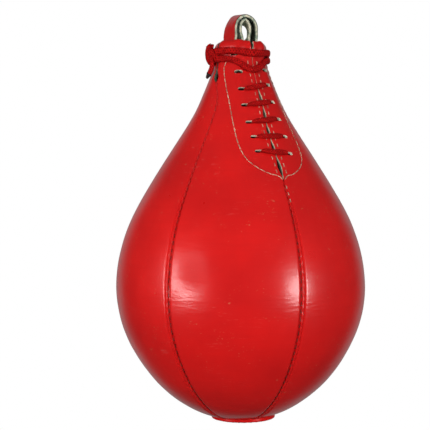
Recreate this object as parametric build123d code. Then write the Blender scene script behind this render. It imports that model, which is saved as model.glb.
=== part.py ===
from build123d import *
import math
import os

# A leather speed bag: six sewn gores round a rubber bladder, a laced neck and a leather hanging loop.
# Millimetres. +Z is up, the lacing faces -Y, and the origin is the axis of the hook eye in the loop.

# Leather and rubber thicknesses
LEATHER = 1.8
FACING = 1.4
LINING = 0.5
TONGUE = 1.2
BLADDER_WALL = 0.9
STRAP = 2.4
SKIN_GAP = 0.06  # between layers that lie on each other
TOUCH_GAP = 0.02  # between threads or laces and what they lie on

# Outer surface of the leather, from the gathered rim down to the middle of the base: (z, radius)
PROFILE = [
    (-9.0, 15.3),
    (-12.6, 18.4),
    (-18.0, 18.3),
    (-25.5, 18.9),
    (-39.4, 23.8),
    (-57.0, 31.3),
    (-80.0, 44.8),
    (-108.5, 62.9),
    (-137.0, 78.4),
    (-160.0, 86.2),
    (-184.5, 89.0),
    (-211.0, 84.7),
    (-233.0, 74.5),
    (-251.0, 61.0),
    (-264.0, 46.3),
    (-273.0, 31.0),
    (-277.6, 16.0),
    (-279.0, 0.0),
]
PROFILE_SAMPLES = 44
RIM_Z = PROFILE[0][0]
BASE_Z = PROFILE[-1][0]
REACH = 110.0  # past the widest radius
RUN_OVER = 12.0  # how far cutting shapes run past the leather's ends

# Seams: azimuth from the front, turning towards +X, how far the gathered neck swings the seam, and the side
# of it that the thread is on
SEAMS = {
    "front": (0.0, 0.0, -1),
    "front_right": (60.0, 27.0, 1),
    "back_right": (120.0, 13.0, -1),
    "back": (180.0, 0.0, 1),
    "back_left": (-120.0, -13.0, -1),
    "front_left": (-60.0, -27.0, 1),
}
PANELS = {  # the azimuth of each gore's middle
    "front_right": 30,
    "right": 90,
    "back_right": 150,
    "back_left": 210,
    "left": 270,
    "front_left": 330,
}
SEAM_GAP = 2.2
WELT_SPAN = (-1.0, 0.25)  # across the seam, towards the thread's side
THREAD_SPAN = (0.35, 1.0)
WELT_PROUD = 0.6
THREAD_PROUD = 0.1
THREAD_DEPTH = 0.6
SWING_TOP_Z = -24.0
SWING_END_Z = -62.0
SEAM_TOP_Z = -39.0  # above this the seams are open, so that the neck can gather
SLIT_SEAM_TOP_Z = -110.5  # the front seam stops below the slit
TIP_HOLE_R = 7.0

# Lacing
SLIT_END_Z = -109.0
SLOT_LENGTH = 6.0
SLOT_HEIGHT = 2.6
SLOTS = {  # the middle of each slot, from the top down: (x, z)
    "left": [
        (-12.0, -19.5),
        (-10.8, -32.7),
        (-10.8, -45.3),
        (-11.2, -57.1),
        (-11.4, -69.5),
        (-11.3, -79.9),
        (-11.5, -90.1),
    ],
    "right": [
        (11.3, -17.4),
        (10.7, -30.6),
        (9.5, -41.5),
        (10.2, -54.0),
        (11.6, -66.4),
        (12.2, -78.9),
        (11.4, -91.1),
    ],
}
FIRST_LACED = 2  # the two upper pairs are above the ladder
LACE_THICK = 1.6
LACE_WIDE = 3.4
LACE_LEG = 2.0
LEG_INSET = 1.1  # from a slot's middle towards the slit
LEG_CLEAR = 0.5  # of the slot's height
LACE_LIFT = 0.1
TONGUE_GAP = 0.2
TONGUE_HALF = 16.3
TONGUE_CORNER = 5.0

# Facing under the lacing, narrower towards the neck and pointed at the slit's end: (half width, z)
FACING_EDGE = [
    (17.6, -18.0),
    (18.4, -28.0),
    (20.6, -42.0),
    (21.6, -56.0),
    (22.9, -68.0),
    (24.2, -80.0),
    (24.2, -89.0),
    (22.0, -97.0),
    (16.5, -102.6),
    (9.0, -106.4),
    (0.0, -109.6),
]
FACING_TOP_Z = -14.0
LINING_CLEAR = 0.6  # round the facing's outline
FACING_CLEAR = 0.4  # beside the slit and the front seams
STITCH_LENGTH = 3.2
STITCH_PITCH = 5.1
STITCH_WIDE = 0.8
STITCH_THICK = 0.5
STITCH_INSET = 1.2  # from the facing's edge
STITCH_START = 0.15  # of a pitch
SLIT_ROW_X = 3.7
SLIT_ROW_RISE = 3.0  # from the slit's end to the lowest stitch beside it
RUNG_CLEAR = 0.3

# Base disc
DISC_R = 20.0
DISC_CLEAR = 0.2  # from the disc to the seams' ends

# Hanging loop: two straps, one inside the other, 17 wide along Y
STRAP_WIDTH = 17.0
EYE_R = 4.0
OUTER_HALF = 9.4
OUTER_TOP_Z = 11.2
INNER_FOOT_X = 1.5  # inner face of the inner strap's legs, where they enter the neck
LEAN_TOP_Z = -2.0
BEND_TOP_Z = -4.0
BEND_END_Z = -10.0
BEND_GAP = 0.05
TAIL_END_Z = -36.0

# Neck lace
WRAP_IN = 0.1
WRAP_OUT = 2.3
UPPER_WRAP = [(-30.0, -16.8), (-14.0, -16.9), (-2.0, -19.2), (7.0, -19.2), (15.0, -16.9), (30.0, -16.8)]
UPPER_WRAP_WIDE = 4.6
LOWER_WRAP = [(-30.0, -22.8), (-13.0, -24.2), (-5.0, -30.2), (6.5, -30.8), (13.5, -25.6), (30.0, -22.8)]
LOWER_WRAP_WIDE = 4.0
KNOT_AZIMUTH = -104.0
KNOT_Z = (-25.6, -14.6)
KNOT_WIDE = 12.0
KNOT_OUT = 2.8
KNOT_CORNER = 2.0

# Free end of the neck lace, out of the back of the knot, over its top and down the neck: (x, y, z)
TAIL_ROUTE = [
    (-18.6, 9.2, -19.5),
    (-19.4, 11.4, -15.6),
    (-20.6, 10.4, -11.3),
    (-22.2, 6.8, -11.0),
    (-23.7, 3.9, -15.4),
    (-23.5, 1.2, -20.4),
    (-22.9, -0.7, -25.2),
    (-22.9, -0.2, -29.6),
    (-23.8, 2.6, -32.9),
]
TAIL_D = 2.2
TAIL_BEND_SHARE = 0.45  # of the shorter run beside a corner that its arc takes
TAIL_TIP_LENGTH = 3.6
TAIL_TIP_R = 1.25

# Bladder: how deep its skin is under the leather's outer surface, below and beside the lacing
BLADDER_DEPTH = 2.6
BLADDER_TUCK = 4.4  # deeper, beside the lacing
TUCK_START_Z = -128.0
TUCK_END_Z = -104.0
SHOULDER_Z = -56.0
DOME = [(0.0, -44.0), (9.0, -46.5)]  # (radius, z)
BLADDER_DOME_R = 15.0
VALVE_Z = -45.0
VALVE_R = 3.9
VALVE_SEAT_R = 4.0
VALVE_BORE_R = 0.6
VALVE_LENGTH = 14.0


def compass(azimuth):
    """Unit vector in plan: 0 is the front, -Y, and positive turns towards +X."""
    a = math.radians(azimuth)
    return Vector(math.sin(a), -math.cos(a), 0)


def clean(shape):
    """The shape's solids as a plain list."""
    return list(shape.solids())


# ---- layers: shells of revolution that follow the leather's outer surface ----

END_TANGENTS = [Vector(0.88, 0, -0.48), Vector(-1, 0, 0)]
OUTLINE = Edge.make_spline([Vector(r, 0, z) for z, r in PROFILE], tangents=END_TANGENTS, scale=False)


def offset_points(distance):
    """Points along the outline, moved outwards by distance."""
    points = []
    for i in range(PROFILE_SAMPLES + 1):
        t = i / PROFILE_SAMPLES
        here, along = OUTLINE @ t, OUTLINE % t
        points.append(Vector(here.X - along.Z * distance, 0, here.Z + along.X * distance))
    points[-1].X = 0
    return points


def offset_edge(distance):
    return Edge.make_spline(offset_points(distance), tangents=END_TANGENTS, scale=False)


_layers = {}


def layer(low, high):
    """A full turn of skin between two offsets from the leather's outer surface."""
    if (low, high) not in _layers:
        inner, outer = offset_edge(low), offset_edge(high)
        ends = [Edge.make_line(inner @ i, outer @ i) for i in (0, 1)]
        face = Face(Wire([inner, ends[1], outer, ends[0]]))
        _layers[(low, high)] = revolve(face, Axis.Z, 360)
    return _layers[(low, high)]


def slab(low_z, high_z, radius=REACH):
    """A round block between two heights."""
    height = high_z - low_z
    return Pos(0, 0, (low_z + high_z) / 2) * Cylinder(radius, height)


# ---- prisms: flat outlines in the XZ plane, run from the axis out to the front ----

FRONT = Plane(origin=(0, 0, 0), x_dir=(1, 0, 0), z_dir=(0, -1, 0))


def front_prism(face):
    return extrude(FRONT * face, amount=REACH, dir=(0, -1, 0))


def strip_face(start, end, wide):
    """A flat strip of the given width whose ends are upright, between two points of the XZ plane."""
    half = wide / 2
    (x0, z0), (x1, z1) = start, end
    corners = [(x0, z0 - half), (x1, z1 - half), (x1, z1 + half), (x0, z0 + half)]
    return make_face(Polyline(*corners, close=True))


def slot_prism(x, z):
    return front_prism(Pos(x, z) * SlotOverall(SLOT_LENGTH, SLOT_HEIGHT))


# ---- seams ----


def seam_line(swing, shift):
    """A seam's sideways line, seen along its azimuth: straight below, swinging aside in the neck."""
    top = PROFILE[2][1] * math.sin(math.radians(swing)) + shift
    return [
        Edge.make_line((shift, BASE_Z - RUN_OVER, 0), (shift, SWING_END_Z, 0)),
        Edge.make_bezier(
            (shift, SWING_END_Z, 0),
            (shift, (SWING_END_Z + SWING_TOP_Z) / 2, 0),
            (top, (SWING_END_Z + SWING_TOP_Z) / 2, 0),
            (top, SWING_TOP_Z, 0),
        ),
        Edge.make_line((top, SWING_TOP_Z, 0), (top, RIM_Z + RUN_OVER, 0)),
    ]


def seam_band(name, span):
    """A thin upright band that follows a seam, from the axis outwards."""
    azimuth, swing, side = SEAMS[name]
    low, high = sorted(side * edge for edge in span)
    left, right = seam_line(swing, low), seam_line(swing, high)
    ends = [
        Edge.make_line(left[0] @ 0, right[0] @ 0),
        Edge.make_line(left[-1] @ 1, right[-1] @ 1),
    ]
    outward = compass(azimuth)
    sideways = compass(azimuth + 90)
    plane = Plane(origin=(0, 0, 0), x_dir=sideways, z_dir=outward)
    face = Face(Wire(left + [ends[1]] + right + [ends[0]]))
    return extrude(plane * face, amount=REACH, dir=outward)


def split_by_seams(skin):
    """Cuts a skin along the six seams and names the pieces by where they are."""
    for name in SEAMS:
        skin = skin - seam_band(name, (-SEAM_GAP / 2, SEAM_GAP / 2))
    pieces = sorted(clean(skin), key=lambda s: -s.volume)[: len(PANELS)]
    named = {}
    for piece in pieces:
        centre = piece.center(CenterOf.MASS)
        azimuth = math.degrees(math.atan2(centre.X, -centre.Y)) % 360
        nearest = min(PANELS, key=lambda name: abs(PANELS[name] - azimuth))
        named[nearest] = piece
    return named


def base_plug(radius):
    """A short cylinder round the axis at the base."""
    return Pos(0, 0, BASE_Z) * Cylinder(radius, 2 * RUN_OVER)


def facing_side(grow):
    """The right-hand edge of the facing in the XZ plane, from its top to its tip, moved out by grow."""
    points = [(half + grow, z) for half, z in FACING_EDGE[:-1]]
    tip = (0.0, FACING_EDGE[-1][1] - grow)
    return Spline(*points, tip)


def facing_outline(grow=0.0):
    """The facing's outline in the XZ plane, open to above the rim."""
    right = facing_side(grow)
    left = mirror(right, Plane.YZ)
    top, high = right @ 0, RIM_Z + RUN_OVER
    cap = Polyline((top.X, top.Y), (top.X, high), (-top.X, high), (-top.X, top.Y))
    return make_face(right + left + cap)


def cut_slots(piece, side):
    for x, z in SLOTS[side]:
        piece = piece - slot_prism(x, z)
    return piece


def make_panels():
    named = split_by_seams(layer(-LEATHER, 0) - base_plug(TIP_HOLE_R))
    for side in SLOTS:
        named[f"front_{side}"] = cut_slots(named[f"front_{side}"], side)
    return named


def make_linings():
    high = -(LEATHER + SKIN_GAP)
    shell = layer(high - LINING, high) - base_plug(TIP_HOLE_R)
    shell = shell & slab(BASE_Z - RUN_OVER, SEAM_TOP_Z)
    shell = shell - front_prism(facing_outline(grow=LINING_CLEAR))
    return split_by_seams(shell)


def make_facings():
    """Two inner facings that carry the lace slots, one behind each front panel."""
    high = -(LEATHER + SKIN_GAP)
    skin = layer(high - FACING, high) & slab(SLIT_END_Z - RUN_OVER, FACING_TOP_Z)
    skin = skin & front_prism(facing_outline())
    edge = SEAM_GAP / 2 + FACING_CLEAR
    for name in ("front", "front_left", "front_right"):
        skin = skin - seam_band(name, (-edge, edge))
    pieces = sorted(clean(skin), key=lambda s: -s.volume)[:2]
    left, right = sorted(pieces, key=lambda s: s.center(CenterOf.MASS).X)
    return {"left": cut_slots(left, "left"), "right": cut_slots(right, "right")}


def make_tongue():
    """The flap behind the lacing that keeps the laces off the bladder."""
    high = -(LEATHER + 2 * SKIN_GAP + FACING + LACE_THICK + TONGUE_GAP)
    length = SEAM_TOP_Z - SLIT_END_Z - 1
    outline = Pos(0, SLIT_END_Z + length / 2) * RectangleRounded(2 * TONGUE_HALF, length, TONGUE_CORNER)
    return layer(high - TONGUE, high) & front_prism(outline)


def make_seam(name):
    """A seam's welt and its thread."""
    top = SLIT_SEAM_TOP_Z if name == "front" else SEAM_TOP_Z
    bounds = slab(BASE_Z - RUN_OVER, top) - base_plug(DISC_R + DISC_CLEAR)
    welt = layer(-LEATHER, WELT_PROUD) & seam_band(name, WELT_SPAN) & bounds
    thread = layer(-THREAD_DEPTH, THREAD_PROUD) & seam_band(name, THREAD_SPAN) & bounds
    return welt, thread


def make_disc():
    """The round leather patch that closes the base, laid over the gores' tips."""
    return layer(SKIN_GAP, LEATHER) & base_plug(DISC_R)


# ---- stitching that shows on the surface ----


def stitches_along(points):
    """Short stitches lying on the leather, one for each pair of points in the XZ plane."""
    made = []
    skin = layer(TOUCH_GAP, STITCH_THICK)
    for (x0, z0), (x1, z1) in points:
        along = Vector(x1 - x0, z1 - z0, 0)
        side = Vector(-along.Y, along.X, 0).normalized() * (STITCH_WIDE / 2)
        corners = [
            (x0 - side.X, z0 - side.Y),
            (x1 - side.X, z1 - side.Y),
            (x1 + side.X, z1 + side.Y),
            (x0 + side.X, z0 + side.Y),
        ]
        made += clean(skin & front_prism(make_face(Polyline(*corners, close=True))))
    return made


def slit_stitches():
    """A row of stitches down each side of the slit."""
    rows = []
    count = int((SEAM_TOP_Z - SLIT_END_Z - SLIT_ROW_RISE) / STITCH_PITCH)
    for sign in (-1, 1):
        for i in range(count):
            low = SLIT_END_Z + SLIT_ROW_RISE + i * STITCH_PITCH
            rows.append(((sign * SLIT_ROW_X, low), (sign * SLIT_ROW_X, low + STITCH_LENGTH)))
    taken = crossing_lines()
    return stitches_along([row for row in rows if clear_of(row, taken)])


def facing_stitches():
    """The line of stitches inside the facing's edge, round its tip and up to where the neck gathers."""
    side = facing_side(-STITCH_INSET)
    count = int(side.length / STITCH_PITCH)
    runs = []
    for i in range(count):
        start = side @ ((i + STITCH_START) / count)
        end = side @ ((i + STITCH_START + STITCH_LENGTH / STITCH_PITCH) / count)
        if start.Y < SWING_END_Z:
            runs += [((x * start.X, start.Y), (x * end.X, end.Y)) for x in (-1, 1)]
    return stitches_along(runs)


# ---- laces ----


def crossing_lines():
    """Where the lace crosses the slit: (left point, right point) of each rung."""
    pairs = zip(SLOTS["left"][FIRST_LACED:], SLOTS["right"][FIRST_LACED:])
    inset = LEG_INSET - LACE_LEG / 2
    return [((x0 + inset, z0), (x1 - inset, z1)) for (x0, z0), (x1, z1) in pairs]


def clear_of(stitch, crossings):
    """True if a stitch beside the slit isn't under a rung of lace."""
    (x, low), (_, high) = stitch
    for (x0, z0), (x1, z1) in crossings:
        z = z0 + (z1 - z0) * (x - x0) / (x1 - x0)
        reach = LACE_WIDE / 2 + RUNG_CLEAR
        if low - reach < z < high + reach:
            return False
    return True


def make_ladder():
    """The lace in the slit: rungs outside, legs through the slots, and slanting runs inside."""
    outside = layer(LACE_LIFT, LACE_LIFT + LACE_THICK)
    low = -(LEATHER + FACING + 2 * SKIN_GAP)
    through = layer(low - LACE_THICK, LACE_LIFT + LACE_THICK)
    inside = layer(low - LACE_THICK, low - TOUCH_GAP)
    leg_wide = SLOT_HEIGHT - LEG_CLEAR
    parts = []
    rungs = crossing_lines()
    for start, end in rungs:
        parts.append(outside & front_prism(strip_face(start, end, LACE_WIDE)))
        for x, z in (start, end):
            ends = [(x - math.copysign(LACE_LEG, x), z), (x, z)]
            parts.append(through & front_prism(strip_face(*ends, leg_wide)))
    for (_, right), (left, _) in zip(rungs, rungs[1:]):
        parts.append(inside & front_prism(strip_face(left, right, leg_wide)))
    lace = parts[0]
    for part in parts[1:]:
        lace = lace + part
    return lace


def wrap_ring(route, wide):
    """One turn of lace round the neck: level at the back, and sagging at the front along the route."""
    skin = layer(WRAP_IN, WRAP_OUT)
    half = wide / 2
    low = [(x, z - half) for x, z in route]
    high = [(x, z + half) for x, z in reversed(route)]
    behind = Pos(0, REACH / 2, route[0][1]) * Box(2 * REACH, REACH, wide)
    return (skin & behind) + (skin & front_prism(make_face(Polyline(*low, *high, close=True))))


def knot_block():
    """The plain block that stands for the knot, on the side of the neck."""
    out = compass(KNOT_AZIMUTH)
    low, high = KNOT_Z
    plane = Plane(origin=(0, 0, (low + high) / 2), x_dir=compass(KNOT_AZIMUTH + 90), z_dir=out)
    face = RectangleRounded(KNOT_WIDE, high - low, KNOT_CORNER)
    return extrude(plane * face, amount=REACH, dir=out)


def make_neck_lace():
    """Two wraps round the neck and the knot that ties them."""
    block = knot_block()
    knot = layer(WRAP_IN, KNOT_OUT) & block
    upper = wrap_ring(UPPER_WRAP, UPPER_WRAP_WIDE) - block
    lower = wrap_ring(LOWER_WRAP, LOWER_WRAP_WIDE) - block
    return upper, lower, knot


def make_tail():
    """The lace's free end, a plain tube of straight runs and tangent arcs, and its hard tip."""
    points = [Vector(*p) for p in TAIL_ROUTE]
    radii = []
    for before, here, after in zip(points, points[1:], points[2:]):
        turn = math.radians((here - before).get_angle(after - here))
        run = min((here - before).length, (after - here).length)
        radii.append(TAIL_BEND_SHARE * run / math.tan(turn / 2))
    route = FilletPolyline(*points, radius=radii)
    start = Plane(origin=points[0], z_dir=points[1] - points[0])
    tail = sweep(start * Circle(TAIL_D / 2), path=route)
    print("tail length", round(route.length, 2), "radii", [round(r, 2) for r in radii])
    expected = math.pi * TAIL_D**2 / 4 * route.length
    print("tail volume", round(tail.volume, 2), "expected", round(expected, 2))
    end = Plane(origin=points[-1], z_dir=points[-1] - points[-2])
    tip = extrude(end * Circle(TAIL_TIP_R), amount=TAIL_TIP_LENGTH)
    return tail, tip


# ---- hanging loop ----


def strap_prism(face):
    """A flat outline of the XZ plane, made as wide as a strap."""
    plane = Plane(origin=(0, STRAP_WIDTH / 2, 0), x_dir=(1, 0, 0), z_dir=(0, -1, 0))
    return extrude(plane * face, amount=STRAP_WIDTH, dir=(0, -1, 0))


def leg_outline(inner_x, foot_x, top_z, end_z):
    """One leg of a strap in the XZ plane, from top_z down to end_z, leaning from inner_x to foot_x."""

    def face_x(z):
        share = (LEAN_TOP_Z - z) / (LEAN_TOP_Z - BEND_END_Z)
        return inner_x + (foot_x - inner_x) * min(1.0, max(0.0, share))

    heights = [top_z] + [z for z in (LEAN_TOP_Z, BEND_END_Z) if end_z < z < top_z] + [end_z]
    near = [(face_x(z), z) for z in heights]
    far = [(face_x(z) + STRAP, z) for z in reversed(heights)]
    return near + far


def strap_piece(inner_x, foot_x, top_z, end_z):
    """Both legs of a strap between two heights."""
    made = []
    for sign in (-1, 1):
        corners = [(sign * x, z) for x, z in leg_outline(inner_x, foot_x, top_z, end_z)]
        made.append(strap_prism(make_face(Polyline(*corners, close=True))))
    return made


def strap_crown(inner_x, inner_rise):
    """The arch of a strap above the eye's axis."""
    outer = make_face(
        EllipticalCenterArc((0, 0), inner_x + STRAP, inner_rise + STRAP, 0, arc_size=180)
        + Line((-inner_x - STRAP, 0), (inner_x + STRAP, 0))
    )
    under = CenterArc((0, 0), inner_x, 0, 180)
    if inner_rise != inner_x:
        under = EllipticalCenterArc((0, 0), inner_x, inner_rise, 0, arc_size=180)
    inner = make_face(under + Line((-inner_x, 0), (inner_x, 0)))
    return strap_prism(outer - inner)


def make_strap(inner_x, foot_x, inner_rise):
    """A strap as its loop, the short stretch that bends, and its tails inside the neck."""
    loop = strap_crown(inner_x, inner_rise)
    for leg in strap_piece(inner_x, foot_x, 0, BEND_TOP_Z):
        loop = loop + leg
    bend = strap_piece(inner_x, foot_x, BEND_TOP_Z - BEND_GAP, BEND_END_Z + BEND_GAP)
    tails = strap_piece(inner_x, foot_x, BEND_END_Z, TAIL_END_Z)
    return loop, bend, tails


# ---- bladder ----


def tuck(z):
    """How far the bladder has drawn in at height z, from 0 below the lacing to 1 beside it."""
    share = min(1.0, max(0.0, (z - TUCK_START_Z) / (TUCK_END_Z - TUCK_START_Z)))
    return share * share * (3 - 2 * share)


def bladder_outline(inset):
    """The bladder's skin: against the lining below, clear of the lacing above, and domed at the top."""
    points = [Vector(r * (1 - inset / BLADDER_DOME_R), 0, z - inset) for r, z in DOME]
    for i in range(PROFILE_SAMPLES + 1):
        t = i / PROFILE_SAMPLES
        here, along = OUTLINE @ t, OUTLINE % t
        depth = BLADDER_DEPTH + BLADDER_TUCK * tuck(here.Z) + inset
        if here.Z < SHOULDER_Z:
            points.append(Vector(here.X + along.Z * depth, 0, here.Z - along.X * depth))
    points[-1].X = 0
    return Edge.make_spline(points)


def filled(edge):
    """The solid inside an outline that starts and ends on the axis."""
    return revolve(Face(Wire([edge, Edge.make_line(edge @ 1, edge @ 0)])), Axis.Z, 360)


def make_bladder():
    """The hollow bladder, and the valve that fills it."""
    bladder = filled(bladder_outline(0)) - filled(bladder_outline(BLADDER_WALL))
    at = Pos(0, 0, VALVE_Z)
    bladder = bladder - at * Cylinder(VALVE_SEAT_R, VALVE_LENGTH)
    stem = at * (Cylinder(VALVE_R, VALVE_LENGTH) - Cylinder(VALVE_BORE_R, VALVE_LENGTH))
    return bladder, stem


# ---- write every node ----


def write(name, shape):
    if isinstance(shape, (list, tuple)):
        shape = Compound(children=list(shape))
    export_step(shape, f"parts/{name}.step")


def main():
    os.makedirs("parts", exist_ok=True)
    for name, panel in make_panels().items():
        write(f"{name}_panel", panel)
    for name, lining in make_linings().items():
        write(f"{name}_lining", lining)
    for name, facing in make_facings().items():
        write(f"{name}_lace_facing", facing)
    write("lacing_tongue", make_tongue())
    for name in SEAMS:
        welt, thread = make_seam(name)
        write(f"{name}_seam_welt", welt)
        write(f"{name}_seam_thread", thread)
    write("base_disc", make_disc())
    write("slit_stitches", slit_stitches())
    write("facing_stitches", facing_stitches())
    write("lace_ladder", make_ladder())
    upper, lower, knot = make_neck_lace()
    write("lace_upper_wrap", upper)
    write("lace_lower_wrap", lower)
    write("lace_knot", knot)
    tail, tip = make_tail()
    write("lace_tail", tail)
    write("lace_tip", tip)
    outer_inner_x = OUTER_HALF - STRAP
    loops = {
        "outer_loop": make_strap(outer_inner_x, outer_inner_x, OUTER_TOP_Z - STRAP),
        "inner_loop": make_strap(EYE_R, INNER_FOOT_X, EYE_R),
    }
    for name, (loop, bend, tails) in loops.items():
        write(f"{name}_strap", loop)
        write(f"{name}_bends", bend)
        write(f"{name}_tails", tails)
    bladder, stem = make_bladder()
    write("bladder", bladder)
    write("bladder_valve", stem)


main()
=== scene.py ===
import math
import random

import bpy
import numpy as np
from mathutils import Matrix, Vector, noise


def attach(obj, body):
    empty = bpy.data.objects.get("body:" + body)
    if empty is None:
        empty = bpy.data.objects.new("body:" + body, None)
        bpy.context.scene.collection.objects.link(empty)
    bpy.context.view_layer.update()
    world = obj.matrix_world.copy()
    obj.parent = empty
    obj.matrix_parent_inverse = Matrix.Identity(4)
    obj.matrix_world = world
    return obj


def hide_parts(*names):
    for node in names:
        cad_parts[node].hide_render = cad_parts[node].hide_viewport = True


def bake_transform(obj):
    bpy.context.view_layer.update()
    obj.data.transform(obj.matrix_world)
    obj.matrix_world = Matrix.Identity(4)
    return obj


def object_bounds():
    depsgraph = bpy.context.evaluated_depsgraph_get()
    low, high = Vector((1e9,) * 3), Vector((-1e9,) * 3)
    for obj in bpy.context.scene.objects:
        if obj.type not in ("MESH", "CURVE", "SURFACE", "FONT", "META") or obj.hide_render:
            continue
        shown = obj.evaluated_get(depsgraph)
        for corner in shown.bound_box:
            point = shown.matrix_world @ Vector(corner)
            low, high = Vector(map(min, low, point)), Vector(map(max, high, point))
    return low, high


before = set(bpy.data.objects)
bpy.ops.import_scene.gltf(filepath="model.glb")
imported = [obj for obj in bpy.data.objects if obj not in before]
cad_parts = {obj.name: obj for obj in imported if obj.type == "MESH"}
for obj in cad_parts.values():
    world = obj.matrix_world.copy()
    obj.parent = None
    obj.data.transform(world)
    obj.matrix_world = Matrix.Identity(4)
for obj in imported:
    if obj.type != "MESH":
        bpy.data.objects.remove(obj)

# A red leather speed bag with a laced neck and a leather hanging loop.
# Lengths here are in millimetres, and MM turns them into the frame's metres. Azimuths are in degrees in plan:
# 0 is the laced front, towards -Y, and they grow towards +X.

MM = 0.001
CAD_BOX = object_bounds()
random.seed(7)

# ---- sizes, as in the CAD model ----

WIDEST_Z, WIDEST_R = -184.5, 89.0
NECK_R = 18.3
PROFILE = [  # the leather's outer surface: (z, radius)
    (-9.0, 15.3), (-12.6, 18.4), (-18.0, NECK_R), (-25.5, 18.9), (-39.4, 23.8), (-57.0, 31.3),
    (-80.0, 44.8), (-108.5, 62.9), (-137.0, 78.4), (-160.0, 86.2), (WIDEST_Z, WIDEST_R), (-211.0, 84.7),
    (-233.0, 74.5), (-251.0, 61.0), (-264.0, 46.3), (-273.0, 31.0), (-277.6, 16.0), (-279.0, 0.0),
]
RIM_SLOPE = (0.88, -0.48)  # the profile's direction at the rim, as (radius, z)
BASE_SLOPE = (-1.0, 0.0)
LEATHER = 1.8  # its thickness

SEAMS = {  # azimuth, how far the gathered neck swings it, and which side of the seam the thread shows on
    "front": (0.0, 0.0, -1),
    "front_right": (60.0, 27.0, 1),
    "back_right": (120.0, 13.0, -1),
    "back": (180.0, 0.0, 1),
    "back_left": (240.0, -13.0, -1),
    "front_left": (300.0, -27.0, 1),
}
GORES = {  # the seams at the gore's left and right, seen from outside
    "front_right": ("front", "front_right"),
    "right": ("front_right", "back_right"),
    "back_right": ("back_right", "back"),
    "back_left": ("back", "back_left"),
    "left": ("back_left", "front_left"),
    "front_left": ("front_left", "front"),
}
SWING_TOP_Z, SWING_END_Z = -24.0, -62.0  # where the swing is full, and where it starts
SEAM_TOP_Z = -39.0  # above it the seams are open

SLIT_END_Z = -109.0
SLOT_LENGTH, SLOT_HEIGHT = 6.0, 2.6
SLOTS = {  # the middle of each lace slot, from the top down: (x, z)
    "left": [
        (-12.0, -19.5), (-10.8, -32.7), (-10.8, -45.3), (-11.2, -57.1), (-11.4, -69.5), (-11.3, -79.9),
        (-11.5, -90.1),
    ],
    "right": [
        (11.3, -17.4), (10.7, -30.6), (9.5, -41.5), (10.2, -54.0), (11.6, -66.4), (12.2, -78.9),
        (11.4, -91.1),
    ],
}
FIRST_LACED = 2  # the two upper pairs are above the ladder

STITCH_LINE = [  # the facing's stitching, from the neck down to its point: (half width, z)
    (16.2, -25.0), (17.8, -30.0), (19.2, -39.0), (19.8, -47.0), (20.3, -56.0), (21.4, -66.0), (22.8, -78.0),
    (23.2, -87.0), (21.9, -94.5), (18.4, -99.6), (13.0, -103.6), (7.0, -106.3), (3.4, -106.9), (0.6, -109.6),
]
DISC_R = 20.0  # the base disc

# ---- the bag's skin as a formula ----


def clamped_spline(t, y, first, last):
    """The smooth cubic through (t, y) with the two end slopes, as a function."""
    n, h = len(t), np.diff(t)
    a, b = np.zeros((n, n)), np.zeros(n)
    a[0, :2] = 2 * h[0], h[0]
    b[0] = 6 * ((y[1] - y[0]) / h[0] - first)
    a[-1, -2:] = h[-1], 2 * h[-1]
    b[-1] = 6 * (last - (y[-1] - y[-2]) / h[-1])
    for i in range(1, n - 1):
        a[i, i - 1 : i + 2] = h[i - 1], 2 * (h[i - 1] + h[i]), h[i]
        b[i] = 6 * ((y[i + 1] - y[i]) / h[i] - (y[i] - y[i - 1]) / h[i - 1])
    m = np.linalg.solve(a, b)

    def value(at):
        i = np.clip(np.searchsorted(t, at) - 1, 0, n - 2)
        p, q, w = t[i + 1] - at, at - t[i], h[i]
        bend = m[i] * p**3 / (6 * w) + m[i + 1] * q**3 / (6 * w)
        return bend + (y[i] / w - m[i] * w / 6) * p + (y[i + 1] / w - m[i + 1] * w / 6) * q

    return value


class Skin:
    """The leather's outer surface: a point for each distance along the profile from the rim, and azimuth."""

    SAMPLES = 3000

    def __init__(self):
        z, r = np.array(PROFILE).T
        chord = np.concatenate([[0], np.cumsum(np.hypot(np.diff(z), np.diff(r)))])
        at = np.linspace(0, chord[-1], self.SAMPLES)
        self.r = clamped_spline(chord, r, RIM_SLOPE[0], BASE_SLOPE[0])(at)
        self.z = clamped_spline(chord, z, RIM_SLOPE[1], BASE_SLOPE[1])(at)
        dr, dz = np.gradient(self.r), np.gradient(self.z)
        size = np.hypot(dr, dz)
        self.nr, self.nz = -dz / size, dr / size
        self.s = np.concatenate([[0], np.cumsum(np.hypot(np.diff(self.r), np.diff(self.z)))])
        self.length = self.s[-1]

    def s_at(self, z):
        return np.interp(-np.asarray(z, float), -self.z, self.s)

    def radius(self, s):
        return np.interp(s, self.s, self.r)

    def height(self, s):
        return np.interp(s, self.s, self.z)

    def points(self, s, azimuth, lift=0.0):
        """Points, in millimetres, lift above the surface. All three may be arrays."""
        s, a = np.asarray(s, float), np.radians(azimuth)
        r = np.interp(s, self.s, self.r) + lift * np.interp(s, self.s, self.nr)
        z = np.interp(s, self.s, self.z) + lift * np.interp(s, self.s, self.nz)
        return np.stack([r * np.sin(a), -r * np.cos(a), z + 0 * a], axis=-1)

    def point(self, s, azimuth, lift=0.0):
        return Vector(self.points(s, azimuth, lift).tolist())

    def normal(self, s, azimuth):
        a = math.radians(azimuth)
        nr, nz = np.interp(s, self.s, self.nr), np.interp(s, self.s, self.nz)
        return Vector((nr * math.sin(a), -nr * math.cos(a), nz))

    def front(self, x, z):
        """(s, azimuth) of the front point with that x and z."""
        s = float(self.s_at(z))
        return s, math.degrees(math.asin(max(-1.0, min(1.0, x / float(self.radius(s))))))


SKIN = Skin()


def smooth(low, high, value):
    """0 below low, 1 above high, and a smooth step between. Works on arrays, and with low above high."""
    t = np.clip((np.asarray(value, float) - low) / (high - low), 0, 1)
    return t * t * (3 - 2 * t)


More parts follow.
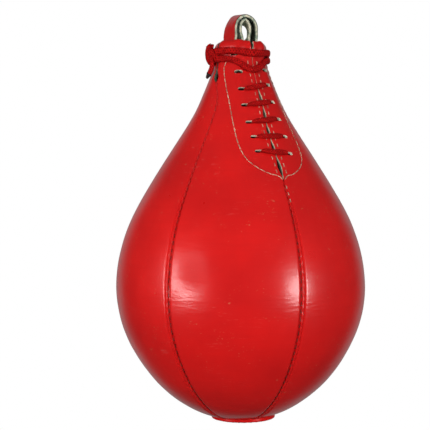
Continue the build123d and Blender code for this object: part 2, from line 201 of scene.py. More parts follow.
def swing_share(z):
    """How much of the neck's sideways swing a seam has at height z."""
    u = np.linspace(0, 1, 60)
    climb = 1.5 * u - 1.5 * u**2 + u**3
    height = (np.asarray(z, float) - SWING_END_Z) / (SWING_TOP_Z - SWING_END_Z)
    return np.interp(height, climb, 3 * u**2 - 2 * u**3)


def hump(value, middle, half):
    """1 at the middle, falling to 0 over a few half widths either way."""
    return np.exp(-(((value - middle) / half) ** 2))


SWAY, SWAY_Z, SWAY_HALF = 1.5, -55, 13  # how far, where, and over what half height


def slit_sway(z):
    """How far the laced slit has been pulled to its right at height z."""
    return SWAY * hump(z, SWAY_Z, SWAY_HALF)


def seam_azimuth(name, s):
    azimuth, swing, _ = SEAMS[name]
    offset = NECK_R * math.sin(math.radians(swing)) * swing_share(SKIN.height(s))
    if name == "front":
        offset = offset + slit_sway(SKIN.height(s))
    return azimuth + np.degrees(np.arcsin(np.clip(offset / SKIN.radius(s), -0.99, 0.99)))


# ---- mesh helpers ----


def new_object(name, data, body=None):
    obj = bpy.data.objects.new(name, data)
    bpy.context.scene.collection.objects.link(obj)
    if body:
        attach(obj, body)
    return obj


def new_mesh(name, points_mm, faces, materials, face_material=None, uvs=None):
    mesh = bpy.data.meshes.new(name)
    mesh.from_pydata([tuple(c * MM for c in p) for p in points_mm], [], faces)
    for material in materials:
        mesh.materials.append(material)
    if face_material is not None:
        mesh.polygons.foreach_set("material_index", face_material)
    if uvs is not None:
        layer = mesh.uv_layers.new(name="UVMap")
        loops = np.zeros(len(mesh.loops), int)
        mesh.loops.foreach_get("vertex_index", loops)
        layer.data.foreach_set("uv", np.asarray(uvs, float)[loops].ravel())
    mesh.polygons.foreach_set("use_smooth", [True] * len(mesh.polygons))
    mesh.validate()
    mesh.update()
    return mesh


def sharp_over(mesh, degrees):
    """Marks the edges that turn more than that, so that smooth shading stops at them."""
    mesh.set_sharp_from_angle(angle=math.radians(degrees))


def evaluated_mesh(obj):
    """The object's mesh with its modifiers applied."""
    bpy.context.view_layer.update()
    return bpy.data.meshes.new_from_object(obj.evaluated_get(bpy.context.evaluated_depsgraph_get()))


def tube_faces(rows, count):
    """Quads round a tube of rows rings with count points each."""
    faces = []
    for i in range(rows - 1):
        for j in range(count):
            a, b = i * count + j, i * count + (j + 1) % count
            faces.append((a, b, b + count, a + count))
    return faces


def tube_ends(rows, count):
    last = (rows - 1) * count
    return [tuple(range(count))[::-1], tuple(range(last, last + count))]


def grid_faces(rows, columns, start=0, flip=False):
    faces = []
    for i in range(rows - 1):
        for j in range(columns - 1):
            a = start + i * columns + j
            face = (a, a + columns, a + columns + 1, a + 1)
            faces.append(face[::-1] if flip else face)
    return faces


# ---- materials ----


class Nodes:
    """Shorthand for building the nodes of a new material, or of a world."""

    def __init__(self, name, world=None):
        self.material = world or bpy.data.materials.new(name)
        self.material.use_nodes = True
        self.tree = self.material.node_tree
        self.shader = self.tree.nodes.get("Principled BSDF")

    def add(self, kind, **values):
        node = self.tree.nodes.new(kind)
        for key, value in values.items():
            if key in node.inputs:
                self.put(node.inputs[key], value)
            else:
                setattr(node, key, value)
        return node

    def put(self, socket, value):
        if isinstance(value, bpy.types.NodeSocket):
            self.tree.links.new(value, socket)
        else:
            socket.default_value = value

    def set(self, **values):
        for key, value in values.items():
            self.put(self.shader.inputs[key.replace("_", " ")], value)

    def place(self, scale=(1, 1, 1)):
        """Frame coordinates in millimetres, times scale."""
        place = self.add("ShaderNodeTexCoord").outputs["Object"]
        mapping = self.add("ShaderNodeMapping", Vector=place)
        mapping.inputs["Scale"].default_value = [c / MM for c in scale]
        return mapping.outputs["Vector"]

    def noise(self, size, detail=3.0, roughness=0.5, scale=(1, 1, 1)):
        """Noise whose features are about size millimetres."""
        node = self.add("ShaderNodeTexNoise", Vector=self.place(scale), Scale=1.0 / size)
        node.inputs["Detail"].default_value = detail
        node.inputs["Roughness"].default_value = roughness
        return node.outputs["Fac"]

    def share(self, value, low, high, **values):
        """0 where the value is below low and 1 where it is above high."""
        node = self.add("ShaderNodeMapRange", Value=value, **values)
        node.inputs["From Min"].default_value, node.inputs["From Max"].default_value = low, high
        return node.outputs["Result"]

    def height_share(self, low_mm, high_mm):
        """0 below one height and 1 above the other."""
        height = self.add("ShaderNodeSeparateXYZ", Vector=self.place()).outputs["Z"]
        return self.share(height, low_mm, high_mm)

    def ramp(self, value, *stops):
        """A grey between two stops, which are (value, grey)."""
        node = self.add("ShaderNodeValToRGB", Fac=value)
        for element, (at, grey) in zip(node.color_ramp.elements, stops):
            element.position = at
            element.color = (grey, grey, grey, 1)
        return node.outputs["Color"]

    def blotches(self, low, high, *noise):
        """Noise made into patches: 0 where it is below low, and 1 where it is above high."""
        return self.ramp(self.noise(*noise), (low, 0.0), (high, 1.0))

    def ribbon_uv(self):
        """U, along a ribbon in millimetres, and V, once round it."""
        split = self.add("ShaderNodeSeparateXYZ", Vector=self.add("ShaderNodeTexCoord").outputs["UV"])
        return split.outputs["X"], split.outputs["Y"]

    def math(self, what, a, b=0.0):
        node = self.add("ShaderNodeMath", operation=what)
        self.put(node.inputs[0], a)
        self.put(node.inputs[1], b)
        return node.outputs[0]

    def times(self, a, b):
        return self.math("MULTIPLY", a, b)

    def plus(self, a, b):
        return self.math("ADD", a, b)

    def mix(self, share, a, b):
        node = self.add("ShaderNodeMix", data_type="RGBA")
        self.put(node.inputs[0], share)
        for socket, value in ((node.inputs[6], a), (node.inputs[7], b)):
            self.put(socket, (*value, 1) if isinstance(value, tuple) else value)
        return node.outputs[2]

    def bump(self, height, distance_mm, strength=1.0, under=None):
        node = self.add("ShaderNodeBump", Height=height, Strength=strength, Distance=distance_mm * MM)
        if under is not None:
            self.put(node.inputs["Normal"], under)
        return node.outputs["Normal"]


RED = (0.67, 0.008, 0.007)
RED_DEEP = (0.54, 0.006, 0.006)
RED_PALE = (0.70, 0.13, 0.11)
# the colour of the painted shade round the neck
RED_NECK_SHADE = (0.34, 0.004, 0.004)
FLECK = (0.55, 0.22, 0.12)  # where the finish has chipped off
PORE = 0.8


def red_leather(name, specular, coat):
    """Glossy dyed leather with pores, wrinkles, scuffs and chipped flecks, and painted shade towards the
    neck.
    """
    n = Nodes(name)
    colour = n.mix(n.blotches(0.35, 0.7, 46, 4), RED_DEEP, RED)
    streaks = n.blotches(0.45, 0.75, 7.0, 4, 0.6, (0.22, 0.22, 3.2))
    colour = n.mix(n.times(streaks, 0.3), colour, RED_DEEP)
    # painted shade: the leather is darkened towards the neck, where the lamps light it less
    colour = n.mix(n.times(n.height_share(-75, -12), 0.35), colour, RED_NECK_SHADE)
    scuffs = n.times(n.blotches(0.60, 0.71, 3.0, 6, 0.7, (0.35, 0.35, 2.6)), n.blotches(0.50, 0.66, 30, 2))
    colour = n.mix(n.times(scuffs, 0.5), colour, RED_PALE)
    flecks = n.times(n.blotches(0.66, 0.72, 1.3, 2, 0.5, (0.6, 0.6, 1.3)), n.blotches(0.54, 0.62, 17, 2))
    colour = n.mix(n.times(flecks, 0.45), colour, FLECK)
    pores = n.add("ShaderNodeTexVoronoi", Vector=n.place(), Scale=1 / PORE, feature="DISTANCE_TO_EDGE")
    grain = n.math("MINIMUM", pores.outputs["Distance"], 0.16)
    normal = n.bump(grain, 0.04, 0.2)
    normal = n.bump(n.noise(1.6, 4), 0.05, 0.25, normal)
    normal = n.bump(n.noise(8.0, 3, 0.5, (0.6, 0.6, 1.8)), 0.3, 0.25, normal)
    wrinkle = n.noise(3.4, 3, 0.6, (0.2, 0.2, 1.7))
    band = n.times(n.height_share(-168, -184), n.height_share(-214, -196))
    patches = n.math("MAXIMUM", n.blotches(0.45, 0.65, 34, 2), band)
    normal = n.bump(n.times(wrinkle, patches), 0.3, 0.42, normal)
    rough = n.plus(n.times(n.noise(14, 4), 0.12), 0.24)
    rough = n.plus(rough, n.times(scuffs, 0.2))
    n.set(Base_Color=colour, Roughness=rough, Normal=normal, Specular_IOR_Level=specular)
    n.set(Coat_Weight=coat, Coat_Roughness=0.2, Coat_Normal=normal)
    return n.material


def raw_leather(name, cream, green, dark):
    """The flesh side and cut edges: pale grey-green suede with cream fibres."""
    n = Nodes(name)
    colour = n.mix(n.blotches(0.38, 0.62, 3.2, 4, 0.6), green, cream)
    colour = n.mix(n.times(n.blotches(0.56, 0.7, 0.8, 4, 0.7), 0.6), colour, dark)
    fibres = n.noise(0.35, 5, 0.75)
    n.set(Base_Color=colour, Roughness=0.95, Normal=n.bump(fibres, 0.35, 0.8), Specular_IOR_Level=0.2)
    return n.material


def woven(name, colour, deep, pitch, ribs):
    """A braid that follows the ribbon's UVs."""
    n = Nodes(name)
    u, v = n.ribbon_uv()
    along, across = n.times(u, math.tau / pitch), n.times(v, math.tau * ribs)
    one = n.math("SINE", n.plus(along, across))
    other = n.math("SINE", n.math("SUBTRACT", along, across))
    braid = n.plus(n.times(n.math("MAXIMUM", one, other), 0.5), 0.5)
    fuzz = n.noise(0.3, 4, 0.7)
    # painted shade: the colour is darker wherever the braid and its fuzz are low, as their bumps are
    tone = n.plus(n.times(braid, 0.65), n.times(fuzz, 0.6))
    base = n.mix(n.ramp(tone, (0.25, 0.0), (0.95, 1.0)), deep, colour)
    worn = n.ramp(n.noise(2.4, 3, 0.6), (0.40, 1.0), (0.60, 0.0))
    base = n.mix(n.times(worn, 0.4), base, tuple(c / 2 for c in deep))
    normal = n.bump(fuzz, 0.12, 0.7, n.bump(braid, 0.4, 0.9))
    n.set(Base_Color=base, Roughness=0.7, Normal=normal, Specular_IOR_Level=0.07)
    return n.material


TWIST = 0.7  # the length of one turn of a thread's plies


def thread(name, colour, deep, high=None):
    """Twisted waxed thread. High on the bag it can have another colour."""
    n = Nodes(name)
    u, v = n.ribbon_uv()
    twist = n.plus(n.times(u, math.tau / TWIST), n.times(v, math.tau))
    ply = n.plus(n.times(n.math("SINE", twist), 0.5), 0.5)
    base = n.mix(n.blotches(0.35, 0.65, 5), deep, colour)
    # painted shade: the thread is darker in the grooves between its plies, where the bump is low
    base = n.mix(n.times(n.math("SUBTRACT", 1.0, ply), 0.55), base, deep)
    if high:
        base = n.mix(n.height_share(-150, -125), base, high)
    n.set(Base_Color=base, Roughness=0.7, Normal=n.bump(ply, 0.12, 0.9))
    return n.material


WEAVE = 0.7  # the cloth's mesh


def cloth(name, colour, deep):
    n = Nodes(name)
    threads = n.add("ShaderNodeTexVoronoi", Vector=n.place(), Scale=1 / WEAVE)
    base = n.mix(threads.outputs["Distance"], colour, deep)
    base = n.mix(n.times(n.noise(12, 3), 0.5), base, deep)
    n.set(Base_Color=base, Roughness=0.92, Normal=n.bump(threads.outputs["Distance"], 0.15, 0.8))
    return n.material


def rubber(name, colour):
    n = Nodes(name)
    base = n.mix(n.times(n.blotches(0.4, 0.75, 6, 5, 0.6), 0.35), colour, (0.20, 0.18, 0.16))
    n.set(Base_Color=base, Roughness=0.62, Normal=n.bump(n.noise(1.2, 4), 0.06, 0.6))
    return n.material


def hard_tip(name):
    n = Nodes(name)
    base = n.mix(n.blotches(0.4, 0.7, 0.9, 4), (0.012, 0.010, 0.010), (0.05, 0.02, 0.018))
    n.set(Base_Color=base, Roughness=0.7, Normal=n.bump(n.noise(0.7, 3), 0.1, 0.7), Specular_IOR_Level=0.15)
    return n.material


LEATHER_RED = red_leather("red_leather", 0.38, 0.5)
PATCH_RED = red_leather("patch_leather", 0.12, 0.0)
LEATHER_RAW = raw_leather("raw_leather", (0.74, 0.64, 0.47), (0.27, 0.31, 0.23), (0.05, 0.06, 0.045))
# painted light: the slots' cut walls are paler than the other raw edges, to look lit where the lamps hardly
# reach
SLOT_RAW_PAINTED_LIGHT = raw_leather("slot_edge_painted_light", (0.95, 0.88, 0.70), (0.50, 0.52, 0.40), (0.12, 0.14, 0.10))
STRAP_RAW = raw_leather("strap_edge", (0.70, 0.62, 0.46), (0.20, 0.27, 0.20), (0.03, 0.045, 0.035))
EDGE_DARK = raw_leather("dark_edge", (0.14, 0.15, 0.11), (0.03, 0.045, 0.035), (0.008, 0.012, 0.01))
# painted shade: the cut edges inside the sewn seams are dark red so that the groove looks dark
EDGE_SEWN_PAINTED_SHADE = raw_leather("sewn_edge_painted_shade", (0.16, 0.012, 0.010), (0.07, 0.006, 0.005), (0.02, 0.003, 0.003))
# painted shade: the facing's flesh side is near black, standing in for the shadow seen through the slit and
# the slots
FACING_PAINTED_SHADE = raw_leather("facing_flesh_painted_shade", (0.13, 0.12, 0.09), (0.045, 0.055, 0.042), (0.01, 0.012, 0.01))
LACE = woven("lace_weave", (0.52, 0.006, 0.006), (0.13, 0.001, 0.001), pitch=1.9, ribs=6.0)
CREAM_THREAD = thread("cream_thread", (0.80, 0.62, 0.44), (0.28, 0.13, 0.09))
SEAM_THREAD = thread("seam_thread", (0.38, 0.045, 0.032), (0.13, 0.012, 0.009), (0.50, 0.012, 0.010))
LINING = cloth("lining_cloth", (0.06, 0.055, 0.042), (0.024, 0.022, 0.018))
TONGUE = cloth("tongue_cloth", (0.03, 0.028, 0.025), (0.012, 0.012, 0.011))
RUBBER = rubber("bladder_rubber", (0.07, 0.06, 0.055))
TIP = hard_tip("lace_tip_plastic")

# ---- camera, at the photograph's viewing angle ----

VIEW_AZIMUTH = -26.0
VIEW_DISTANCE = 801.0
VIEW_Z = -133.1
VIEW_ASIDE = 18.2  # the bag hangs this far right of the picture's middle
SEEN_WIDTH = 309.3  # millimetres across the picture at the bag's axis
SENSOR = 36.0


def compass(azimuth):
    a = math.radians(azimuth)
    return Vector((math.sin(a), -math.cos(a), 0))


def aim(obj, place, direction):
    """Puts a camera or lamp at a place, looking along the direction."""
    obj.location = place
    obj.rotation_mode = "QUATERNION"
    obj.rotation_quaternion = direction.to_track_quat("-Z", "Y")


def make_camera():
    data = bpy.data.cameras.new("camera")
    data.sensor_width = SENSOR
    data.lens = SENSOR * VIEW_DISTANCE / SEEN_WIDTH
    data.clip_start, data.clip_end = 0.01, 20
    camera = new_object("camera", data)
    out, right = compass(VIEW_AZIMUTH), compass(VIEW_AZIMUTH + 90)
    aim(camera, (out * VIEW_DISTANCE - right * VIEW_ASIDE + Vector((0, 0, VIEW_Z))) * MM, -out)
    bpy.context.scene.camera = camera


make_camera()

# ---- ribbons: laces, welts and threads swept along a line ----

THREAD_RING = (8, 0.95)  # the points round a thread, and how far its section is from a square


def ring(width, thickness, count, square):
    """A flattened round section as (across, up) pairs."""
    pairs = []
    for i in range(count):
        a = math.tau * i / count
        c, s = math.cos(a), math.sin(a)
        across = math.copysign(abs(c) ** square, c) * width / 2
        up = math.copysign(abs(s) ** square, s) * thickness / 2
        pairs.append((across, up))
    return pairs


def swept(line, ups, widths, thicknesses, count=14, square=0.75):
    """Points, faces and UVs of a closed ribbon along line, flat against the surface whose normals are ups."""
    widths, thicknesses = np.broadcast_to(widths, len(line)), np.broadcast_to(thicknesses, len(line))
    points, uvs = [], []
    run = 0.0
    for i, here in enumerate(line):
        before, after = line[max(i - 1, 0)], line[min(i + 1, len(line) - 1)]
        along = (after - before).normalized()
        side = along.cross(ups[i]).normalized()
        up = side.cross(along).normalized()
        if i:
            run += (here - before).length
        for j, (across, high) in enumerate(ring(widths[i], thicknesses[i], count, square)):
            points.append(here + side * across + up * high)
            uvs.append((run, j / count))
    return points, tube_faces(len(line), count) + tube_ends(len(line), count), uvs


def join(parts):
    """One mesh's points, faces and UVs from several."""
    points, faces, uvs = [], [], []
    for more_points, more_faces, more_uvs in parts:
        start = len(points)
        points += more_points
        faces += [tuple(start + k for k in face) for face in more_faces]
        uvs += more_uvs
    return points, faces, uvs


def put_together(name, parts, material, slot, *replaced):
    """One piece of the bag from several ribbons, in place of CAD nodes."""
    points, faces, uvs = join(parts)
    mesh = new_mesh(name, points, faces, [material], uvs=uvs)
    sharp_over(mesh, 50)
    piece = new_object(name, mesh, "bag")
    if replaced:
        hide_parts(*replaced)
    return piece


def normals(s, azimuth):
    return [SKIN.normal(a, b) for a, b in zip(s, azimuth)]


def smooth_line(stops, per_gap=8):
    """A smooth line through the stops, as Catmull-Rom."""
    stops = [Vector(p) for p in stops]
    ends = [stops[0] * 2 - stops[1], *stops, stops[-1] * 2 - stops[-2]]
    line = []
    for i in range(1, len(ends) - 2):
        a, b, c, d = ends[i - 1 : i + 3]
        for k in range(per_gap):
            t = k / per_gap
            bend = (2 * a - 5 * b + 4 * c - d) * t**2 + (3 * b - a - 3 * c + d) * t**3
            line.append(0.5 * (2 * b + (c - a) * t + bend))
    line.append(stops[-1])
    return line


# ---- gores ----

GORE_STEP = 1.0  # along the profile
ROLL = 1.9  # how far from its edge a gore starts to turn in
ROLL_DROP, OPEN_DROP = 1.25, 0.35  # how deep it turns in, low on a sewn seam and where it is open
PUCKER = 0.22
SEAM_HALF = 1.1  # from the seam's middle to a gore's edge
GROOVE_MORE = 0.4  # how much further that is on the thread's side
SLIT_HALF = 0.3
SLIT_LENS = 0.95  # how much further the slit opens half way between two rungs
SLIT_TOP_HALF = 0.12  # above the rungs, where it is drawn shut
# half the open seam at the neck, and its extra at the eye below the laces: at the knot, and elsewhere
NECK_GAPS = {"front_left": (0.9, 1.6)}
TIGHT_GAP = (0.4, 0.5)
CUT_PALE = 0.65  # how far down a cut edge its pale layer goes
STITCH_PITCH = 5.0
RUNG_Z = [(l[1] + r[1]) / 2 for l, r in zip(SLOTS["left"][FIRST_LACED:], SLOTS["right"][FIRST_LACED:])]


def seam_share(z):
    """How wide a seam is there: it is drawn in tightly near the neck."""
    return 0.3 + 0.7 * smooth(-85, -150, z)


def sewn_gap(seam, hand, z):
    """How far the edge of the gore on that hand of a sewn seam stays from the seam's middle."""
    return (SEAM_HALF + GROOVE_MORE * (hand == SEAMS[seam][2])) * seam_share(z)


def edge_gap(seam, hand, z):
    """How far the edge of the gore on that hand stays from the middle of its seam. The right hand is 1."""
    z = np.asarray(z, float)
    sewn = sewn_gap(seam, hand, z)
    if seam == "front":
        stops = [*RUNG_Z, SLIT_END_Z + 1]
        lens = np.interp(-z, [-c for c in stops], range(len(stops)))
        opening = np.sin(math.pi * (lens % 1)) ** 2 * (z < stops[0]) * (z > stops[-1])
        last = 1 + 0.35 * (z < RUNG_Z[-1])
        slit = SLIT_HALF + SLIT_LENS * opening * last
        slit = slit + (SLIT_TOP_HALF - slit) * smooth(RUNG_Z[0] - 1, RUNG_Z[0] + 1, z)
        slit = slit + 1.0 * smooth(-18, -11, z)
        return slit + (sewn - slit) * smooth(SLIT_END_Z + 1, SLIT_END_Z - 3, z)
    neck, eye = NECK_GAPS.get(seam, TIGHT_GAP)
    return sewn + (neck - sewn) * smooth(-40, -37, z) + eye * hump(z, -35.2, 3.2)


def sewn_top(seam):
    """The height above which a seam is open."""
    return SLIT_END_Z if seam == "front" else SEAM_TOP_Z


def pucker(seam, s, z):
    """How much deeper a gore's sewn edge is drawn in at each stitch."""
    top = sewn_top(seam)
    return PUCKER * np.cos(math.tau * s / STITCH_PITCH) * (1 - smooth(top - 3, top, z))


def edge_drop(seam, z):
    """How far a gore turns in at its edge: deeply where it is sewn, hardly where it is open."""
    top = sewn_top(seam)
    sewn = ROLL_DROP * (0.55 + 0.45 * smooth(-85, -150, z))
    return sewn - (sewn - OPEN_DROP) * smooth(top - 5, top + 3, z)


def rim_s(azimuth):
    """Where the cut rim is, as a distance along the profile: it sags towards the right and at the slit."""
    a = np.radians(np.asarray(azimuth, float))
    from_slit = (np.degrees(a) + 180) % 360 - 180
    return 0.6 + 0.7 * np.cos(a - math.radians(60)) + 1.3 * hump(from_slit, 0, 14)


DENTS = [  # hollows in the stretched leather: (azimuth, z, half length round, half height, depth)
    (-46.5, -170.0, 8.0, 9.0, 0.4),
    (24.0, -150.0, 16.0, 12.0, 0.35),
    (-80.0, -140.0, 14.0, 18.0, 0.4),
]
CREASES = [  # fine wrinkles, the same way, and with how steeply they fall towards the right
    (-52.0, -183.5, 10.0, 6.5, 0.36),
    (-4.0, -190.0, 9.0, 7.0, -0.1),
    (5.0, -192.0, 6.0, 6.0, -0.1),
]


def away_from(azimuth, z, at_azimuth, at_z, round_mm, high_mm):
    """How far a point is from a place on the bag, where 1 is the half size."""
    turn = (np.asarray(azimuth) - at_azimuth + 180) % 360 - 180
    return (np.radians(turn) * WIDEST_R / round_mm) ** 2 + ((z - at_z) / high_mm) ** 2


def unevenness(points, azimuth, z):
    """Small swells, hollows, folds and creases of stretched leather, as a lift in millimetres."""
    azimuth, z = np.asarray(azimuth, float), np.asarray(z, float)
    turn = np.radians(azimuth)
    lift = np.cos(turn * 9 + 1.3 * np.sin(turn * 2)) * 0.4 * smooth(-75, -28, z)
    for at_azimuth, at_z, round_mm, high_mm, depth in DENTS:
        lift = lift - depth * np.exp(-away_from(azimuth, z, at_azimuth, at_z, round_mm, high_mm))
    for at_azimuth, at_z, round_mm, high_mm, fall in CREASES:
        share = np.exp(-away_from(azimuth, z, at_azimuth, at_z, round_mm, high_mm))
        down = z + fall * turn * WIDEST_R
        lift = lift + 0.06 * share * np.sin(down * 2.1 + 0.9 * np.sin(turn * 40))
    rough = np.zeros(len(points))
    for i, p in enumerate(points):
        q = Vector(p)
        rough[i] = 0.34 * noise.noise(q / 38) + 0.07 * noise.noise(q / 11 + Vector((5, 2, 8)))
        rough[i] += 0.025 * noise.noise(Vector((q.x / 9, q.y / 9, q.z / 2.2)))
    return lift + rough


EDGE_MM = np.array([0, 0.25, 0.6, 1.0, 1.4, 1.8, 2.3, 3.0])  # the columns near a gore's edge
INNER_COLUMNS = 42  # and between its edges
TIP_CUT = 5  # how far from the base's middle the gores end
NARROW = 9  # a gore narrower than this has a smaller roll at its edges


def gore_grid(name):
    """The outer and inner points of a gore, and its rows and columns."""
    left, right = GORES[name]
    rows = int(SKIN.length / GORE_STEP)
    tip_s = SKIN.length - TIP_CUT
    inner = np.linspace(0, 1, INNER_COLUMNS + 2)[1:-1]
    where = []
    for row in np.linspace(0, 1, rows):
        s0 = row * tip_s
        z = float(SKIN.height(s0))
        a_left, a_right = float(seam_azimuth(left, s0)), float(seam_azimuth(right, s0))
        if a_right < a_left:
            a_right += 360
        r = max(float(SKIN.radius(s0)), 0.5)
        wide = math.radians(a_right - a_left) * r
        start, end = float(edge_gap(left, 1, z)), wide - float(edge_gap(right, -1, z))
        room = max(end - start, 0.4)
        shrink = min(1.0, room / NARROW)
        edge = EDGE_MM * shrink
        middle = start + edge[-1] + inner * (room - 2 * edge[-1])
        across = np.concatenate([start + edge, middle, end - edge[::-1]])
        turn = np.zeros(len(across))
        for away, seam in ((across - start, left), (end - across, right)):
            t = np.clip(1 - away / (ROLL * shrink), 0, 1)
            drop = float(edge_drop(seam, z)) + float(pucker(seam, s0, z))
            turn -= drop * min(1.0, room / 6) * (1 - np.sqrt(1 - 0.97 * t**2))
        azimuth = a_left + np.degrees(across / r)
        top = rim_s(azimuth)
        s = top + (tip_s - top) * row
        where.append((s, azimuth, turn))
    s, azimuth, turn = (np.concatenate(values) for values in zip(*where))
    edge_calm = np.clip(1 + turn / 0.4, 0, 1)
    lift = turn + unevenness(SKIN.points(s, azimuth), azimuth, SKIN.height(s)) * (0.35 + 0.65 * edge_calm)
    outer, inside = (SKIN.points(s, azimuth, lift - deep) for deep in (0, LEATHER))
    return outer, inside, rows, len(EDGE_MM) * 2 + INNER_COLUMNS


RED_FACE, RAW, DARK, SEWN = range(4)  # where the materials are on a gore, and the first three on a strap


def edge_kinds(name, column, columns, z):
    """The materials of a cut edge's outer and inner half: painted dark red where it is sewn, as painted shade
    in the seam's groove, and raw where it is open.
    """
    if column in (0, columns - 1):
        seam = GORES[name][column > 0]
        if z < sewn_top(seam):
            return [SEWN, SEWN]
        if seam != "front":
            return [DARK, DARK]
    return [RAW, DARK]


def gore_mesh(name):
    outer, inner, rows, columns = gore_grid(name)
    count = len(outer)
    points = [*outer, *inner]
    faces = grid_faces(rows, columns) + grid_faces(rows, columns, count, flip=True)
    kinds = [RED_FACE] * (len(faces) // 2) + [RAW] * (len(faces) // 2)
    at = np.arange(count).reshape(rows, columns)
    border = [int(i) for i in (*at[0, :-1], *at[:-1, -1], *at[-1, :0:-1], *at[:0:-1, 0])]
    points += [outer[i] * (1 - CUT_PALE) + inner[i] * CUT_PALE for i in border]
    for k, start in enumerate(border):
        end = border[(k + 1) % len(border)]
        c, d = 2 * count + k, 2 * count + (k + 1) % len(border)
        faces += [(start, end, d, c), (c, d, end + count, start + count)]
        kinds += edge_kinds(name, start % columns, columns, outer[start][2])
    materials = [LEATHER_RED, LEATHER_RAW, EDGE_DARK, EDGE_SEWN_PAINTED_SHADE]
    mesh = new_mesh(f"{name}_gore", points, faces, materials, kinds)
    sharp_over(mesh, 40)
    return mesh


def slot_cutter(x, z):
    """A long rounded plug through the skin where a lace slot is, a little bowed."""
    s, azimuth = SKIN.front(x, z)
    out = SKIN.normal(s, azimuth)
    middle = SKIN.point(s, azimuth)
    across = compass(azimuth + 90)
    up = out.cross(across).normalized()
    if up.z < 0:
        up = -up
    count, points = 20, []
    for depth in (-6.0, 4.0):
        for i in range(count):
            a = math.tau * i / count
            e = math.cos(a) * SLOT_HEIGHT / 2
            if abs(math.cos(a)) > 0.05:
                e += math.copysign((SLOT_LENGTH - SLOT_HEIGHT) / 2, math.cos(a))
            h = math.sin(a) * SLOT_HEIGHT / 2 - 0.06 * (e / 2) ** 2
            points.append(middle + across * e + up * h + out * depth)
    return points, tube_faces(2, count) + tube_ends(2, count)


def cut_slots(obj, side):
    """Cuts the lace slots through a front gore, leaving raw edges painted paler than the other cut edges, as
    painted light.
    """
    points, faces = [], []
    for x, z in SLOTS[side]:
        more, more_faces = slot_cutter(x, z)
        faces += [tuple(len(points) + k for k in face) for face in more_faces]
        points += more
    cutter = new_object("cutter", new_mesh("cutter", points, faces, [SLOT_RAW_PAINTED_LIGHT]))
    modifier = obj.modifiers.new("slots", "BOOLEAN")
    modifier.operation = "DIFFERENCE"
    modifier.object = cutter
    modifier.solver = "EXACT"
    modifier.material_mode = "TRANSFER"
    obj.data = evaluated_mesh(obj)
    obj.modifiers.clear()
    bpy.data.objects.remove(cutter)
    sharp_over(obj.data, 40)


def make_gores():
    for name in GORES:
        gore = new_object(f"{name}_gore", gore_mesh(name))
        if name in ("front_left", "front_right"):
            cut_slots(gore, name.split("_")[1])
        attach(gore, "bag")
        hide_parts(f"{name}_panel")


make_gores()

# ---- seams ----

WELT_ASIDE = 0.3  # from the seam's middle, away from the thread
WELT_DEEP = 0.78  # from the skin to the welt's middle
WELT_WIDE, WELT_THICK = 1.5, 1.4
FLOOR_LIFT, FLOOR_WIDE, FLOOR_THICK = -1.75, 3.0, 0.5  # the red strip at the bottom of the seam's groove
SEAM_END = 13  # how far from the base's middle the seams end
THREAD_ASIDE = 0.88  # from the seam's middle, on the thread's side
STITCH_DEEP = 1.0  # from the skin to the ends of a stitch


def on_skin(s, azimuth, lift):
    """Points of a line that follows the leather's own swells and hollows."""
    flat = SKIN.points(s, azimuth)
    height = SKIN.height(s)
    swell = unevenness(flat, np.asarray(azimuth) + 0 * height, height)
    return [Vector(p) for p in SKIN.points(s, azimuth, lift + swell).tolist()]


def make_seam(name):
    _, _, side = SEAMS[name]
    top = SLIT_END_Z - 1.5 if name == "front" else SEAM_TOP_Z
    s0, s1 = float(SKIN.s_at(top)), SKIN.length - SEAM_END
    s = np.linspace(s0, s1, int(s1 - s0))
    azimuth = seam_azimuth(name, s)
    share = seam_share(SKIN.height(s))
    bead = 0.16 * np.cos(math.tau * s / STITCH_PITCH + math.pi)
    ups = normals(s, azimuth)
    line = on_skin(s, azimuth - np.degrees(side * WELT_ASIDE * share / SKIN.radius(s)), bead - WELT_DEEP)
    body = swept(line, ups, WELT_WIDE * share, WELT_THICK * share, 12, 0.95)
    floor = swept(on_skin(s, azimuth, FLOOR_LIFT), ups, FLOOR_WIDE, FLOOR_THICK, 8)
    put_together(f"{name}_welt", [body, floor], LEATHER_RED, "welt_leather", f"{name}_seam_welt")

    stitches = []
    at = math.ceil((s0 + 2) / STITCH_PITCH) * STITCH_PITCH
    while at < s1 - 4:
        share = float(seam_share(SKIN.height(at)))
        half = STITCH_PITCH * (0.24 + 0.12 * (1 - share) + 0.03 * random.uniform(-1, 1))
        run = np.linspace(at - half, at + half, 7)
        az = seam_azimuth(name, run) + np.degrees(side * THREAD_ASIDE * share / SKIN.radius(run))
        arch = np.sin(np.linspace(0, math.pi, 7))
        deep = STITCH_DEEP * (0.35 + 0.65 * share)
        line = on_skin(run, az, -deep + 0.45 * arch)
        stitches.append(swept(line, normals(run, az), 0.5 + 0.8 * (1 - share), 0.5, *THREAD_RING))
        at += STITCH_PITCH
    put_together(f"{name}_stitches", stitches, SEAM_THREAD, "stitch_thread", f"{name}_seam_thread")


for seam in SEAMS:
    make_seam(seam)

# ---- stitching round the lacing ----


def front_points(pairs, lifts):
    """Points on the front of the skin, and its normals there, for (x, z) pairs."""
    s, azimuth = np.array([SKIN.front(x, z) for x, z in pairs]).T
    return on_skin(s, azimuth, np.asarray(lifts)), normals(s, azimuth)


def stitch(x0, z0, x1, z1, wide=0.6, high=0.42):
    """One stitch that dips into the leather at both ends."""
    t = np.linspace(0, 1, 6)
    pairs = [(x0 + (x1 - x0) * u, z0 + (z1 - z0) * u) for u in t]
    line, ups = front_points(pairs, -0.10 + 0.34 * np.sin(math.pi * t))
    return swept(line, ups, wide, high, *THREAD_RING)


